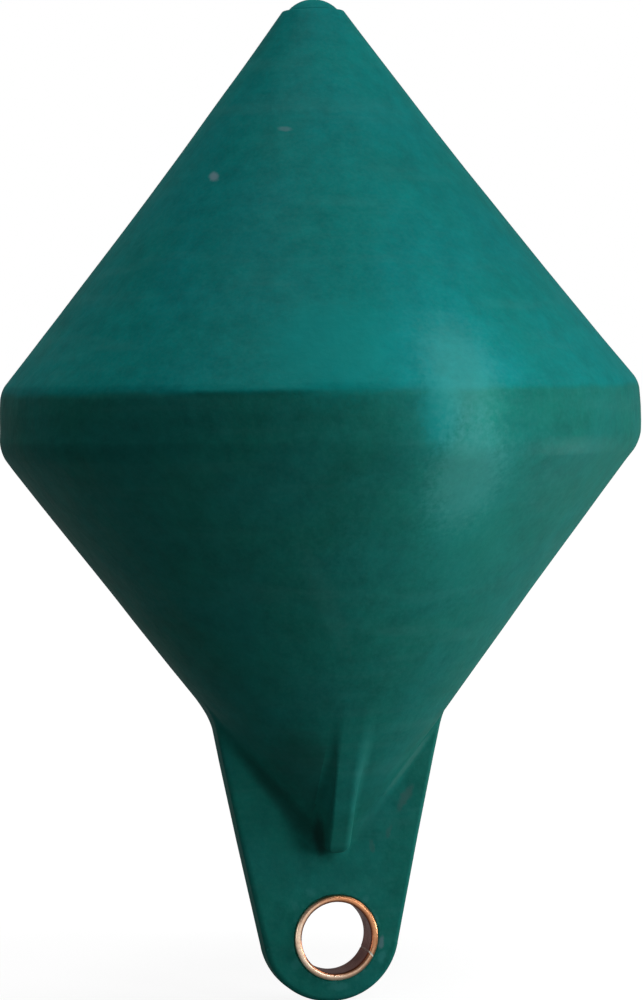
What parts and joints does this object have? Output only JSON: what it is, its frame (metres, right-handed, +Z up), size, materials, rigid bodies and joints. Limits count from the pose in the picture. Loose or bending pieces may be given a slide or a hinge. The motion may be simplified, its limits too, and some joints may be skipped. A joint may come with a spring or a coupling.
{
  "type": "marker buoy",
  "caption": "Double-cone plastic marker buoy with a rounded equator band, a ribbed mooring fin below and a copper-lined eye.",
  "frame": {"origin": "on the buoy's axis at mid height of the equator band, which is the loaded waterline", "axes": "+Z up along the axis; the mooring fin lies in the XZ plane and its eye runs along Y"},
  "size_m": [0.3999, 0.4, 0.6266],
  "materials": {
    "green_plastic": "rotomoulded, satin, finely mottled",
    "plug_plastic": "satin",
    "copper": "tarnished copper, brighter on the rims"
  },
  "bodies": {
    "root": {"upper_cone": "green_plastic", "lower_cone": "green_plastic", "filler_plug": "plug_plastic", "mooring_fin": "green_plastic", "front_rib": "green_plastic", "back_rib": "green_plastic", "eye_bush": "copper"}
  },
  "joints": []
}
